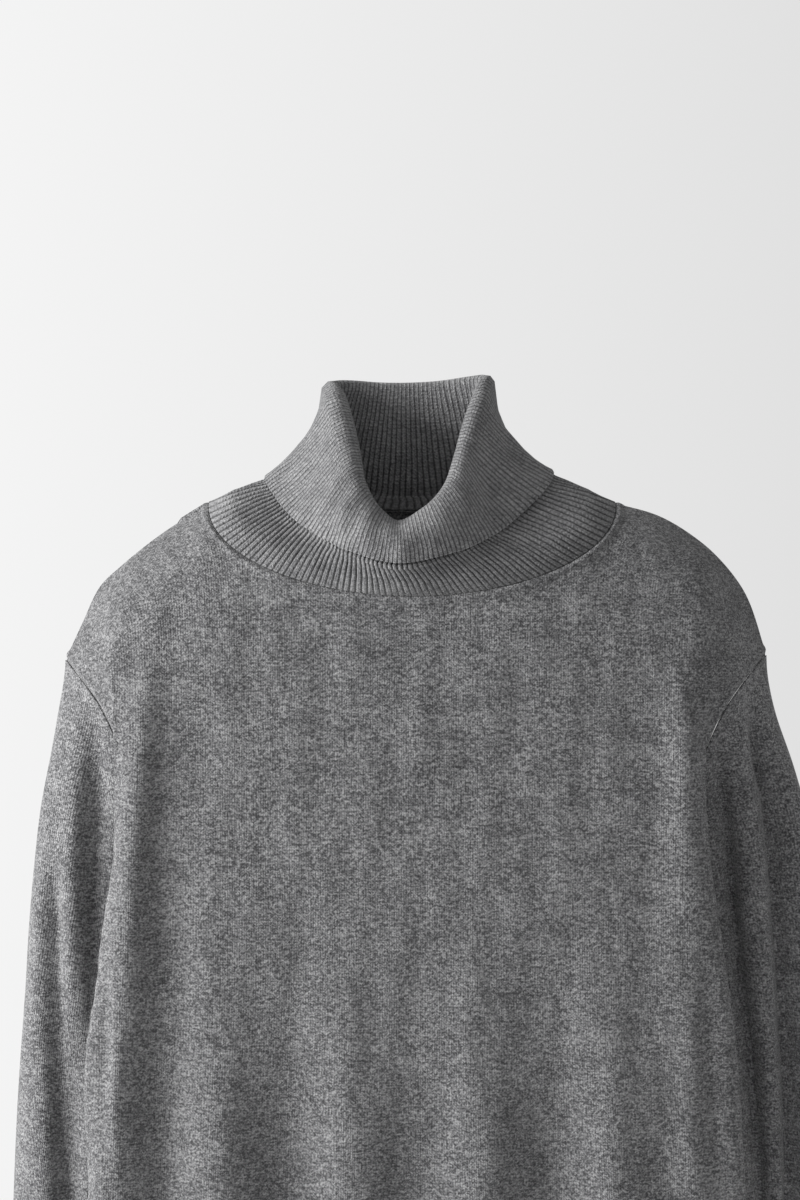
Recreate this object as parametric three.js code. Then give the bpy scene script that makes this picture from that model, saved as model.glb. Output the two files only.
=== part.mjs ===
// A fine-gauge turtleneck sweater, hanging open from its shoulders as it does on a hanger.
// Units are millimetres. +X is the right of the front view, -Y is the front, +Z is up.
// The origin is midway between the shoulders, where the sweater is held up.
// Each cut piece is its own wall of cloth: front, back, two sleeves, folded collar, welts and cuffs.
import * as THREE from "three";

const knitWall = 1.6;
const ribWall = 2;
const seamGap = 0.4;
const seamThinning = 0.6; // share of the wall left where two pieces meet at a seam
const probe = 0.004; // step in surface coordinates for measuring a normal

// Levels down the garment
const underarmZ = -290;
const welt = { top: -585, bottom: -640 };
const cuff = { top: -612, bottom: -676 };

// Columns of a body panel, from its centre line (0) to its side seam or armhole (1)
const columns = { neck: 0.46, near: 0.6, lip: 0.72, tuck: 0.84, seam: 1 };
const columnSteps = {
  front: { neck: 8, near: 2, lip: 3, tuck: 2, seam: 2 },
  back: { neck: 8, near: 1, lip: 2, tuck: 1, seam: 1 },
};
const rowSteps = { yoke: 10, skirt: 7, sleeve: 11 };
const yokeCrowding = 1.6; // gathers the yoke's rows towards the shoulder
const neckRing = { halfWidth: 127, sideZ: -10, frontDrop: 58, backDrop: 4, crownRise: 16 };
const neckFan = { reach: 85, column: 0.46, width: 0.08 }; // spreads the columns below the neck's corners
const hangerRound = 22; // how fast a panel falls forward or back from the shoulder line
const ridgeY = 3;
const tuckFold = { out: 3, y: -24 }; // where the cloth turns back in behind the front's rolled edge

// The shoulder seam, from the neck to the tip of the shoulder, by panel column
const shoulders = {
  left: [
    { column: 0.46, out: 127, z: -10 },
    { column: 0.6, out: 158, z: -30 },
    { column: 0.72, out: 183, z: -50 },
    { column: 0.8, out: 196, z: -63 },
    { column: 0.88, out: 206, z: -84 },
    { column: 1, out: 217, z: -108 },
  ],
  right: [
    { column: 0.46, out: 127, z: -10 },
    { column: 0.6, out: 156, z: -18.5 },
    { column: 0.72, out: 182, z: -35 },
    { column: 0.8, out: 199, z: -52 },
    { column: 0.88, out: 211, z: -71 },
    { column: 1, out: 222, z: -105 },
  ],
};

// The armhole seam from the shoulder tip (0) to the underarm (1)
const armholes = {
  front: [
    { share: 0, out: 217, y: 4, z: -108 },
    { share: 0.2, out: 213, y: -4, z: -112 },
    { share: 0.4, out: 202, y: -18, z: -124 },
    { share: 0.55, out: 190, y: -27, z: -141 },
    { share: 0.7, out: 177, y: -24, z: -172 },
    { share: 0.85, out: 166, y: -12, z: -222 },
    { share: 1, out: 160, y: 8, z: underarmZ },
  ],
  back: [
    { share: 0, out: 217, y: 4, z: -108 },
    { share: 0.2, out: 214, y: 12, z: -113 },
    { share: 0.4, out: 205, y: 23, z: -127 },
    { share: 0.55, out: 194, y: 30, z: -146 },
    { share: 0.7, out: 182, y: 33, z: -178 },
    { share: 0.85, out: 169, y: 27, z: -228 },
    { share: 1, out: 160, y: 8, z: underarmZ },
  ],
};

// Level sections of the body: the front's rolled edge on each side, the side seam, and the depths
const bodySections = [
  { z: -60, leftLip: 180, rightLip: 176, seam: 160, front: 45, lipDepth: 38, back: 36 },
  { z: -170, leftLip: 181, rightLip: 178, seam: 160, front: 46, lipDepth: 38, back: 37 },
  { z: -230, leftLip: 184, rightLip: 183, seam: 160, front: 47, lipDepth: 38, back: 38 },
  { z: -290, leftLip: 192, rightLip: 191, seam: 160, front: 48, lipDepth: 38, back: 39 },
  { z: -358, leftLip: 200, rightLip: 199, seam: 165, front: 49, lipDepth: 37, back: 40 },
  { z: -433, leftLip: 199, rightLip: 204, seam: 174, front: 49, lipDepth: 37, back: 41 },
  { z: -540, leftLip: 201, rightLip: 206, seam: 184, front: 49, lipDepth: 36, back: 41 },
  { z: -585, leftLip: 200, rightLip: 204, seam: 185, front: 47, lipDepth: 35, back: 39 },
  { z: -612, leftLip: 195, rightLip: 198, seam: 184, front: 45, lipDepth: 33, back: 36 },
  { z: -640, leftLip: 194, rightLip: 197, seam: 184, front: 44, lipDepth: 33, back: 35 },
];

// Soft vertical drapes of the body: ridges stand proud, troughs are negative
const bodyDrapes = [
  { face: "front", x: -172, lean: -3, height: 6, width: 13, from: -70, full: -200 },
  { face: "front", x: -150, lean: 0, height: -4, width: 16, from: -110, full: -300 },
  { face: "front", x: -116, lean: -1, height: 5, width: 24, from: -225, full: -440 },
  { face: "front", x: -76, lean: -2, height: -7, width: 24, from: -225, full: -440 },
  { face: "front", x: -37, lean: -1, height: 5, width: 24, from: -240, full: -460 },
  { face: "front", x: 2, lean: 0, height: -4, width: 22, from: -260, full: -460 },
  { face: "front", x: 42, lean: 1, height: 5, width: 24, from: -240, full: -460 },
  { face: "front", x: 81, lean: 2, height: -7, width: 24, from: -225, full: -440 },
  { face: "front", x: 121, lean: 1, height: 5, width: 24, from: -225, full: -440 },
  { face: "front", x: 168, lean: 3, height: 4, width: 15, from: -70, full: -200 },
  { face: "back", x: -110, lean: -2, height: 6, width: 24, from: -150, full: -420 },
  { face: "back", x: -62, lean: -1, height: -6, width: 24, from: -200, full: -440 },
  { face: "back", x: -14, lean: 0, height: 5, width: 26, from: -230, full: -460 },
  { face: "back", x: 36, lean: 0, height: -5, width: 24, from: -220, full: -440 },
  { face: "back", x: 86, lean: 1, height: 6, width: 26, from: -170, full: -420 },
];

// Level sections of the hanging sleeves
const sleeveSections = [
  { z: -105, inner: 168, leftOuter: 217.5, rightOuter: 222.5, front: -6, back: 22 },
  { z: -133, inner: 166, leftOuter: 225, rightOuter: 231, front: -12, back: 34 },
  { z: -161, inner: 165, leftOuter: 229, rightOuter: 239, front: -13, back: 39 },
  { z: -200, inner: 167, leftOuter: 234, rightOuter: 248, front: -13, back: 42 },
  { z: -290, inner: 170, leftOuter: 242, rightOuter: 260, front: -13, back: 44 },
  { z: -371, inner: 178, leftOuter: 247, rightOuter: 265, front: -13, back: 43 },
  { z: -433, inner: 184, leftOuter: 250, rightOuter: 267, front: -12, back: 42 },
  { z: -540, inner: 192, leftOuter: 253, rightOuter: 267, front: -10, back: 39 },
  { z: -585, inner: 195, leftOuter: 254, rightOuter: 266, front: -8, back: 37 },
  { z: -612, inner: 199, leftOuter: 251, rightOuter: 262, front: -4, back: 33 },
  { z: -676, inner: 199, leftOuter: 251, rightOuter: 262, front: -4, back: 33 },
];
const sleeveSquareness = 2.4;
const sleeveEasing = 0.22; // share of the sleeve's length in which it fills out from the armhole

// Long folds down the sleeves, by place round the sleeve: 0 is beside the body, 0.25 the front, 0.5 outside
const sleeveFolds = [
  { side: "left", top: 0.25, bottom: 0.2, height: -8, width: 0.05, from: -110, to: -330 },
  { side: "left", top: 0.35, bottom: 0.25, height: 4, width: 0.05, from: -122, to: -600 },
  { side: "left", top: 0.4, bottom: 0.3, height: -6, width: 0.045, from: -215, to: -600 },
  { side: "left", top: 0.6, bottom: 0.7, height: -6, width: 0.07, from: -150, to: -600 },
  { side: "right", top: 0.28, bottom: 0.19, height: 5, width: 0.05, from: -130, to: -600 },
  { side: "right", top: 0.35, bottom: 0.268, height: -14, width: 0.042, from: -112, to: -600 },
  { side: "right", top: 0.43, bottom: 0.35, height: 4, width: 0.05, from: -150, to: -600 },
  { side: "right", top: 0.6, bottom: 0.72, height: -7, width: 0.07, from: -150, to: -600 },
];

// The folded collar, by share of the way round: 0 is the front, 0.25 the left, 0.5 the back
const collarFold = [
  { turn: 0, x: -8.7, y: -38, z: -24, radius: 5 },
  { turn: 0.06, x: -22, y: -37, z: -12.3, radius: 6 },
  { turn: 0.112, x: -29.5, y: -34, z: 2.6, radius: 7 },
  { turn: 0.184, x: -34, y: -27, z: 24.5, radius: 8 },
  { turn: 0.26, x: -40, y: -14, z: 48, radius: 8 },
  { turn: 0.312, x: -45.5, y: -1, z: 62, radius: 7 },
  { turn: 0.34, x: -48.5, y: 8, z: 66, radius: 5.5 },
  { turn: 0.378, x: -38, y: 17, z: 67, radius: 4.5 },
  { turn: 0.44, x: -20, y: 21, z: 66, radius: 4 },
  { turn: 0.5, x: -2, y: 22.5, z: 66, radius: 4 },
  { turn: 0.56, x: 17, y: 21, z: 67, radius: 4 },
  { turn: 0.61, x: 36, y: 17, z: 69.5, radius: 4.5 },
  { turn: 0.642, x: 45.5, y: 10, z: 70, radius: 5 },
  { turn: 0.672, x: 43, y: 1, z: 66, radius: 5 },
  { turn: 0.74, x: 33.5, y: -14, z: 43, radius: 5.5 },
  { turn: 0.82, x: 26, y: -28, z: 16.6, radius: 5.5 },
  { turn: 0.88, x: 20, y: -35, z: -0.5, radius: 5.5 },
  { turn: 0.94, x: 8, y: -38, z: -14.2, radius: 5.2 },
];
const collarEdge = [
  { turn: 0, x: -9, y: -57, z: -47.5 },
  { turn: 0.075, x: -41, y: -48, z: -39 },
  { turn: 0.128, x: -60.3, y: -33, z: -28.7 },
  { turn: 0.172, x: -74.7, y: -18, z: -18 },
  { turn: 0.233, x: -88, y: 1, z: -1.3 },
  { turn: 0.27, x: -91, y: 11, z: 7.7 },
  { turn: 0.352, x: -68, y: 25, z: 5 },
  { turn: 0.425, x: -36, y: 31, z: -2 },
  { turn: 0.5, x: -2, y: 33.5, z: -5 },
  { turn: 0.57, x: 33, y: 31, z: -2 },
  { turn: 0.645, x: 64, y: 25, z: 6 },
  { turn: 0.72, x: 87, y: 8, z: 11 },
  { turn: 0.765, x: 83, y: -8, z: -0.8 },
  { turn: 0.828, x: 60.7, y: -27, z: -22.4 },
  { turn: 0.877, x: 43.3, y: -40, z: -33.7 },
  { turn: 0.925, x: 24, y: -51, z: -41.4 },
];
const collarShape = { layerGap: 4.6, frontBulge: 7, sideBulge: -4, bandRise: 1.5 };
// Where the collar's rings lie along its cloth: 0 neck seam, 1 foot of the stand, 2 fold, 3 loose edge
const collarRings = {
  bandOutside: [0, 1, 1.12],
  hidden: [1.25, 1.9, 2, 2.1, 2.4, 2.7, 3],
  shownFromFold: [1.08, 1.9, 1.96, 2.04, 2.1, 2.4, 2.7, 3],
  bandInside: [0, 1],
};
// How many ribs each ribbed piece has, and how proud they stand
const ribs = { collar: 148, front: 104, back: 86, cuff: 46, height: 0.5 };
// How many points a ring has where it is plain. The collar's is a multiple of its neck's columns.
const plainRing = { collar: 32, cuff: 20 };
const neckGap = 0.8;

const yarn = new THREE.Color(0.16, 0.16, 0.165);

const clamp01 = (value) => Math.min(1, Math.max(0, value));
const mix = (a, b, share) => a + (b - a) * share;
const smooth = (value) => {
  const s = clamp01(value);
  return s * s * (3 - 2 * s);
};

// A smooth curve from a to b, with their slopes given per whole step
function hermite(a, slopeA, b, slopeB, s) {
  const s2 = s * s;
  const s3 = s2 * s;
  const ends = (2 * s3 - 3 * s2 + 1) * a + (3 * s2 - 2 * s3) * b;
  return ends + (s3 - 2 * s2 + s) * slopeA + (s3 - s2) * slopeB;
}

// The named column of a table at a place along it, on a smooth curve through the rows
function along(rows, by, key, at) {
  const last = rows.length - 1;
  const direction = Math.sign(rows[last][by] - rows[0][by]);
  let i = 0;
  while (i < last - 1 && (at - rows[i + 1][by]) * direction > 0) i++;
  const slope = (k) => {
    const before = rows[Math.max(0, k - 1)];
    const after = rows[Math.min(last, k + 1)];
    return (after[key] - before[key]) / (after[by] - before[by]);
  };
  const span = rows[i + 1][by] - rows[i][by];
  const share = clamp01((at - rows[i][by]) / span);
  return hermite(rows[i][key], slope(i) * span, rows[i + 1][key], slope(i + 1) * span, share);
}

// A point of a ring-shaped table, which closes on itself after a whole turn
function roundTable(rows, turn) {
  return new THREE.Vector3(...["x", "y", "z"].map((key) => roundValue(rows, key, turn)));
}

// One column of a ring-shaped table
function roundValue(rows, key, turn) {
  const t = turn - Math.floor(turn);
  const wrapped = [-2, -1].map((k) => ({ ...rows.at(k), turn: rows.at(k).turn - 1 }));
  wrapped.push(...rows, { ...rows[0], turn: 1 }, { ...rows[1], turn: rows[1].turn + 1 });
  return along(wrapped, "turn", key, t);
}

// A smooth curve through points at given stops, starting along a given slope
function throughStops(points, stops, startSlope, at) {
  let i = 0;
  while (i < stops.length - 2 && at > stops[i + 1]) i++;
  const slope = (k) => {
    if (k === 0) return startSlope;
    const after = Math.min(k + 1, points.length - 1);
    return points[after].clone().sub(points[k - 1]).divideScalar(stops[after] - stops[k - 1]);
  };
  const span = stops[i + 1] - stops[i];
  const share = clamp01((at - stops[i]) / span);
  const [from, to] = [slope(i), slope(i + 1)];
  const read = (key) => hermite(points[i][key], from[key] * span, points[i + 1][key], to[key] * span, share);
  return new THREE.Vector3(read("x"), read("y"), read("z"));
}

// The level of the shoulder line over a place x, carried on across the neck opening
function crownZ(x) {
  const rows = x < 0 ? shoulders.left : shoulders.right;
  const out = Math.abs(x);
  if (out >= neckRing.halfWidth) return along(rows, "out", "z", out);
  return neckRing.sideZ + neckRing.crownRise * Math.cos(((Math.PI / 2) * out) / neckRing.halfWidth);
}

function drapeLift(face, x, z) {
  let lift = 0;
  for (const drape of bodyDrapes) {
    if (drape.face !== face) continue;
    const centre = drape.x + (drape.lean * (underarmZ - z)) / 100;
    const grown = smooth((drape.from - z) / (drape.from - drape.full));
    lift += drape.height * grown * Math.exp(-(((x - centre) / drape.width) ** 2));
  }
  const gathered = z < welt.top ? mix(1, 0.45, smooth((welt.top - z) / 30)) : 1;
  return lift * gathered;
}

// How far a face of the body stands forward or back at a place, with its drapes
function faceY(face, x, z) {
  const read = (key) => along(bodySections, "z", key, z);
  const fallen = 1 - Math.exp(-Math.max(0, crownZ(x) - z) / hangerRound);
  const outline = read("rightLip") - (face === "front" ? 24 : 40);
  const rounding = Math.min(1, Math.abs(x) / outline) ** 3;
  const depth = face === "front" ? read("front") - 5 * rounding : read("back") - 4 * rounding;
  const towards = face === "front" ? -1 : 1;
  return ridgeY + (towards * depth - ridgeY) * fallen + towards * drapeLift(face, x, z);
}

// The top edge of a panel at a column: the neck ring, then the shoulder seam
function topEdge(face, sign, column) {
  if (column < columns.neck) {
    const angle = ((Math.PI / 2) * column) / columns.neck;
    const drop = face === "front" ? neckRing.frontDrop : neckRing.backDrop;
    return { out: neckRing.halfWidth * Math.sin(angle), z: neckRing.sideZ - drop * Math.cos(angle) };
  }
  const rows = sign < 0 ? shoulders.left : shoulders.right;
  return { out: along(rows, "column", "out", column), z: along(rows, "column", "z", column) };
}

function armholePoint(face, sign, share) {
  const read = (key) => along(armholes[face], "share", key, share);
  const tip = topEdge(face, sign, 1);
  const nearTip = 1 - share;
  const out = read("out") + (tip.out - armholes[face][0].out) * nearTip;
  const z = read("z") + (tip.z - armholes[face][0].z) * nearTip;
  const y = read("y") + (ridgeY - armholes[face][0].y) * nearTip;
  return new THREE.Vector3(sign * out, y, z);
}

// The four guide points of a panel's side, at a level section: near, lip or corner, tuck, seam
function sideGuides(face, sign, z) {
  const read = (key) => along(bodySections, "z", key, z);
  const seam = new THREE.Vector3(sign * read("seam"), 8, z);
  if (face === "front") {
    const lipOut = read(sign < 0 ? "leftLip" : "rightLip");
    const lip = new THREE.Vector3(sign * lipOut, -read("lipDepth"), z);
    const tuck = new THREE.Vector3(sign * (read("seam") + tuckFold.out), tuckFold.y, z);
    return { nearOut: lipOut - 24, lip, tuck, seam };
  }
  const corner = new THREE.Vector3(sign * (read("seam") - 13), read("back") - 6, z);
  const tuck = corner.clone().lerp(seam, 0.45).add(new THREE.Vector3(sign * 1, 1.5, 0));
  return { nearOut: read("seam") - 38, lip: corner, tuck, seam };
}

// A point of the front or back. Row 0 is the top edge, 1 the underarm level, 2 the welt's seam.
function bodyPoint(face, place, row) {
  if (row < 0) return bodyPoint(face === "front" ? "back" : "front", place, -row);
  const sign = place < 0 ? -1 : 1;
  const column = Math.abs(place);
  if (column > 1 && row > 1) {
    return bodyPoint(face === "front" ? "back" : "front", sign * (2 - column), row);
  }
  if (column > 1) {
    const edge = bodyPoint(face, sign, row);
    return edge.clone().add(edge).sub(bodyPoint(face, sign * (2 - column), row));
  }
  const inYoke = row < 1;
  const fall = inYoke ? row ** yokeCrowding : 1;
  const level = inYoke ? underarmZ : mix(underarmZ, welt.top, row - 1);
  const guides = sideGuides(face, sign, level);
  const inner = (c) => {
    const top = topEdge(face, sign, c);
    const baseOut = guides.nearOut * (c / columns.near);
    const nearCorner = Math.exp(-(((c - neckFan.column) / neckFan.width) ** 2));
    const fan = neckFan.reach * row * (1 - row) ** 3 * nearCorner;
    const out = inYoke ? mix(top.out, baseOut, fall) + fan : baseOut;
    const z = inYoke ? mix(top.z, level, fall) : level;
    return new THREE.Vector3(sign * out, faceY(face, sign * out, z), z);
  };
  if (column <= columns.near) return inner(column);
  const near = inner(columns.near);
  const slope = near.clone().sub(inner(columns.near - 0.02)).divideScalar(0.02);
  const stops = [columns.near, columns.lip, columns.tuck, columns.seam];
  if (!inYoke) {
    return throughStops([near, guides.lip, guides.tuck, guides.seam], stops, slope, column);
  }
  const topAt = (c) => {
    const top = topEdge(face, sign, c);
    return new THREE.Vector3(sign * top.out, ridgeY, top.z);
  };
  const strip = (rowFall, rowShare, nearPoint) => {
    const lipTop = topAt(columns.lip);
    const z = mix(lipTop.z, underarmZ, rowFall);
    const rolled = sideGuides(face, sign, z).lip;
    const lip = new THREE.Vector3(mix(lipTop.x, rolled.x, smooth(rowFall * 1.15)), 0, z);
    const fallen = 1 - Math.exp(-(lipTop.z - z) / hangerRound);
    lip.y = mix(ridgeY, guides.lip.y, fallen);
    const seam = armholePoint(face, sign, rowShare);
    const middle = lip.clone().lerp(seam, 0.5);
    const lowBulge = guides.tuck.clone().sub(guides.lip.clone().lerp(guides.seam, 0.5));
    const tuck = middle.add(lowBulge.multiplyScalar(rowShare ** 2));
    return throughStops([nearPoint, lip, tuck, seam], stops, slope, column);
  };
  const point = strip(fall, row, near);
  const crown = topEdge(face, sign, columns.near);
  const top = strip(0, 0, new THREE.Vector3(sign * crown.out, ridgeY, crown.z));
  return point.add(topAt(column).sub(top).multiplyScalar((1 - row) ** 4));
}

// The welt goes on below the panel, from its seam (0) to its edge (1)
function weltPoint(face, place, row) {
  const z = mix(welt.top, welt.bottom, row);
  return bodyPoint(face, place, 2).setZ(z).add(weltShift(face, place, z));
}

// How a place on the panel's last section moves at a lower level
function weltShift(face, place, z) {
  const sign = place < 0 ? -1 : 1;
  const column = Math.abs(place);
  const section = (level) => {
    const guides = sideGuides(face, sign, level);
    const out = guides.nearOut * (column / columns.near);
    if (column <= columns.near) {
      return new THREE.Vector3(sign * out, faceY(face, sign * out, level), 0);
    }
    const near = new THREE.Vector3(sign * guides.nearOut, faceY(face, sign * guides.nearOut, level), 0);
    const before = guides.nearOut - 5;
    const slope = new THREE.Vector3(sign * 5, near.y - faceY(face, sign * before, level), 0);
    slope.multiplyScalar(guides.nearOut / columns.near / 5);
    const flat = [guides.lip, guides.tuck, guides.seam].map((p) => p.clone().setZ(0));
    const stops = [columns.near, columns.lip, columns.tuck, columns.seam];
    return throughStops([near, ...flat], stops, slope, column);
  };
  return section(z).sub(section(welt.top));
}

// A point of the sleeve's level section, with its folds
function sleeveSection(sign, turn, z) {
  const read = (key) => along(sleeveSections, "z", key, z);
  const outer = read(sign < 0 ? "leftOuter" : "rightOuter");
  const inner = read("inner");
  const power = 2 / sleeveSquareness;
  const angle = 2 * Math.PI * turn;
  const round = (value) => Math.sign(value) * Math.abs(value) ** power;
  let lift = 0;
  for (const fold of sleeveFolds) {
    if (fold.side !== (sign < 0 ? "left" : "right")) continue;
    const down = clamp01((fold.from - z) / (fold.from - fold.to));
    const strength = smooth((fold.from - z) / 60) * smooth((z - fold.to) / 90 + 1);
    const away = (turn - mix(fold.top, fold.bottom, down)) / fold.width;
    lift += fold.height * strength * Math.exp(-(away ** 2));
  }
  const gathered = mix(1, 0.2, smooth((-575 - z) / 40));
  const out = (inner + outer) / 2 - ((outer - inner) / 2) * round(Math.cos(angle));
  const depth = (read("back") - read("front")) / 2;
  const y = (read("back") + read("front")) / 2 - depth * round(Math.sin(angle));
  const outward = lift * gathered;
  return new THREE.Vector3(sign * (out - outward * Math.cos(angle)), y - outward * Math.sin(angle), z);
}

// The sleeve's own edge at the armhole, in the same straight steps as the panels' rows
function sleeveSeam(sign, turn) {
  const face = turn < 0.5 ? "front" : "back";
  const place = Math.abs(1 - 2 * turn) * rowSteps.yoke;
  const step = Math.min(rowSteps.yoke - 1, Math.floor(place + 1e-9));
  const from = armholePoint(face, sign, step / rowSteps.yoke);
  return from.lerp(armholePoint(face, sign, (step + 1) / rowSteps.yoke), place - step);
}

// A point of a sleeve: turn 0 to 1 goes round it from the underarm by the front, length 0 is the armhole
function sleevePoint(sign, turn, length) {
  const t = turn - Math.floor(turn);
  const seam = sleeveSeam(sign, t);
  const z = mix(seam.z, cuff.top, length);
  const filled = 1 - (1 - clamp01(length / sleeveEasing)) ** 2;
  const tube = sleeveSection(sign, t, z);
  return new THREE.Vector3(mix(seam.x, tube.x, filled), mix(seam.y, tube.y, filled), z);
}

function cuffPoint(sign, turn, length) {
  return sleeveSection(sign, turn - Math.floor(turn), mix(cuff.top, cuff.bottom, length));
}

// The neck seam, where the collar joins the front and back, in straight steps from column to column
function neckSeam(turn) {
  const place = turn * 4 * columnSteps.front.neck;
  const step = Math.floor(place + 1e-9);
  const steps = 4 * columnSteps.front.neck;
  return neckPoint(step / steps).lerp(neckPoint((step + 1) / steps), place - step);
}

function neckPoint(turn) {
  const t = turn - Math.floor(turn);
  const sign = t < 0.5 ? -1 : 1;
  const half = t < 0.5 ? t : 1 - t;
  const face = half < 0.25 ? "front" : "back";
  const column = (columns.neck * Math.min(half, 0.5 - half)) / 0.25;
  const edge = topEdge(face, sign, Math.min(column, columns.neck - 1e-9));
  return new THREE.Vector3(sign * edge.out, faceY(face, sign * edge.out, edge.z), edge.z);
}

// The collar's cloth, mid-wall: stretch 0 is the neck seam, 1 the lowest stand, 2 the fold, 3 the loose edge
function collarMiddle(turn, stretch) {
  const fold = roundTable(collarFold, turn);
  const edge = roundTable(collarEdge, turn);
  const down = edge.clone().sub(fold).normalize();
  const ahead = roundTable(collarFold, turn + 0.01).add(roundTable(collarEdge, turn + 0.01));
  const behind = roundTable(collarFold, turn - 0.01).add(roundTable(collarEdge, turn - 0.01));
  const outward = ahead.sub(behind).cross(down).normalize();
  const { layerGap, frontBulge, sideBulge, bandRise } = collarShape;
  const foldRadius = roundValue(collarFold, "radius", turn);
  const frontness = Math.max(0, Math.cos(2 * Math.PI * turn)) ** 2;
  const bulge = mix(sideBulge, frontBulge, frontness);
  const centre = fold.clone().addScaledVector(down, foldRadius);
  if (stretch <= 1) {
    const foot = edge.clone().addScaledVector(outward, -layerGap);
    const seam = neckSeam(turn);
    const point = seam.lerp(foot, stretch);
    point.z += bandRise * Math.sin(Math.PI * stretch);
    return point;
  }
  if (stretch < 1.9) {
    const s = (stretch - 1) / 0.9;
    const foot = edge.clone().addScaledVector(outward, -layerGap);
    const top = centre.clone().addScaledVector(outward, -foldRadius);
    return foot.lerp(top, s);
  }
  if (stretch <= 2.1) {
    const angle = Math.PI * ((stretch - 1.9) / 0.2);
    const point = centre.addScaledVector(outward, -foldRadius * Math.cos(angle));
    return point.addScaledVector(down, -foldRadius * Math.sin(angle));
  }
  const s = (stretch - 2.1) / 0.9;
  const top = centre.addScaledVector(outward, foldRadius);
  return top.lerp(edge, s).addScaledVector(outward, bulge * Math.sin(Math.PI * s));
}

// The outward normal of a surface, from its neighbours on both sides
function normalOf(surface, u, v) {
  const acrossU = surface(u + probe, v).sub(surface(u - probe, v));
  const acrossV = surface(u, v + probe).sub(surface(u, v - probe));
  return acrossU.cross(acrossV).normalize();
}

function meshOf(name, points, faces) {
  const geometry = new THREE.BufferGeometry();
  geometry.setAttribute("position", new THREE.Float32BufferAttribute(points.flatMap((p) => p.toArray()), 3));
  geometry.setIndex(faces);
  geometry.computeVertexNormals();
  const material = new THREE.MeshStandardMaterial({ color: yarn, roughness: 0.95, metalness: 0 });
  const mesh = new THREE.Mesh(geometry, material);
  mesh.name = name;
  return mesh;
}

// A step within the surface, at right angles to one of its edges
function stepIn(surface, u, v, inU, inV, size) {
  const normal = normalOf(surface, u, v);
  const edge = surface(u + probe * Math.abs(inV), v + probe * Math.abs(inU));
  edge.sub(surface(u - probe * Math.abs(inV), v - probe * Math.abs(inU)));
  const inward = surface(u + 2 * probe * inU, v + 2 * probe * inV).sub(surface(u, v));
  const step = edge.cross(normal).normalize();
  return step.multiplyScalar(size * Math.sign(step.dot(inward)));
}

// Triangles between two chains of points, which may differ in their count. Equal chains make
// four-sided meshes, each cut along its shorter diagonal.
function stitch(faces, points, a, b, closed) {
  const lastA = closed ? a.length : a.length - 1;
  const lastB = closed ? b.length : b.length - 1;
  const apart = (i, j) => points[a[i % a.length]].distanceTo(points[b[j % b.length]]);
  let i = 0;
  let j = 0;
  while (i < lastA || j < lastB) {
    const from = a[i % a.length];
    const to = b[j % b.length];
    const level = lastA === lastB && i === j;
    const aFirst = level ? apart(i + 1, j) <= apart(i, j + 1) : (i + 1) / lastA <= (j + 1) / lastB;
    if (j >= lastB || (i < lastA && aFirst)) {
      faces.push(from, a[(i + 1) % a.length], to);
      i++;
    } else {
      faces.push(from, b[(j + 1) % b.length], to);
      j++;
    }
  }
}

// Rows of points numbered one after another, with all the points in one list
function numberRows(rows, points) {
  return rows.map((row) => {
    const first = points.length;
    points.push(...row);
    return row.map((_, i) => first + i);
  });
}

// A slab from two faces, each of them rows of points, with its four edges closed
function slabMesh(name, outerRows, innerRows, flip) {
  const points = [];
  const outer = numberRows(outerRows, points);
  const inner = numberRows(innerRows, points);
  const faces = [];
  for (let k = 0; k < outer.length - 1; k++) stitch(faces, points, outer[k], outer[k + 1], false);
  for (let k = 0; k < inner.length - 1; k++) stitch(faces, points, inner[k + 1], inner[k], false);
  stitch(faces, points, inner[0], outer[0], false);
  stitch(faces, points, outer.at(-1), inner.at(-1), false);
  const side = (rows, at) => rows.map((row) => row.at(at));
  stitch(faces, points, side(outer, 0), side(inner, 0), false);
  stitch(faces, points, side(inner, -1), side(outer, -1), false);
  if (flip) faces.reverse();
  return meshOf(name, points, faces);
}

// A panel of even cloth with four edges, made from a surface across (u) and down (v)
function panelRowsOf(surface, us, vs, flip, depthAt) {
  const half = seamGap / 2;
  return vs.map((v) => us.map((u, i) => {
    const point = surface(u, v);
    // The seam turns a corner at the neck, so there it is measured just outside the corner
    const at = v === 0 && Math.abs(u) === columns.neck ? u + 2 * probe * Math.sign(u) : u;
    if (i === 0) point.add(stepIn(surface, u, v, 1, 0, half));
    if (i === us.length - 1) point.add(stepIn(surface, u, v, -1, 0, half));
    if (v === vs[0]) point.add(stepIn(surface, at, v, 0, 1, half));
    if (v === vs.at(-1)) point.add(stepIn(surface, u, v, 0, -1, half));
    const normal = normalOf(surface, at, v === 1 ? v + 2 * probe : v).multiplyScalar(flip ? -1 : 1);
    const atSide = i === 0 || i === us.length - 1;
    return point.addScaledVector(normal, depthAt(i, atSide));
  }));
}

// A solid of rings, each joined to the next and the last to the first
function ringMesh(name, rings) {
  const points = [];
  const numbered = numberRows(rings, points);
  const faces = [];
  numbered.forEach((ring, k) => stitch(faces, points, ring, numbered[(k + 1) % numbered.length], true));
  return meshOf(name, points, faces);
}

function ringOf(turns, pointAt) {
  return turns.map(pointAt);
}

function evenTurns(count) {
  return Array.from({ length: count }, (_, i) => i / count);
}

// Places round a sleeve, closer together over its front, where the folds are
function sleeveTurns() {
  const turns = [];
  for (let k = 0; k < 2 * rowSteps.yoke; k++) turns.push(k / (4 * rowSteps.yoke));
  for (let k = 0; k < rowSteps.yoke; k++) turns.push(0.5 + k / (2 * rowSteps.yoke));
  return turns;
}

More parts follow.
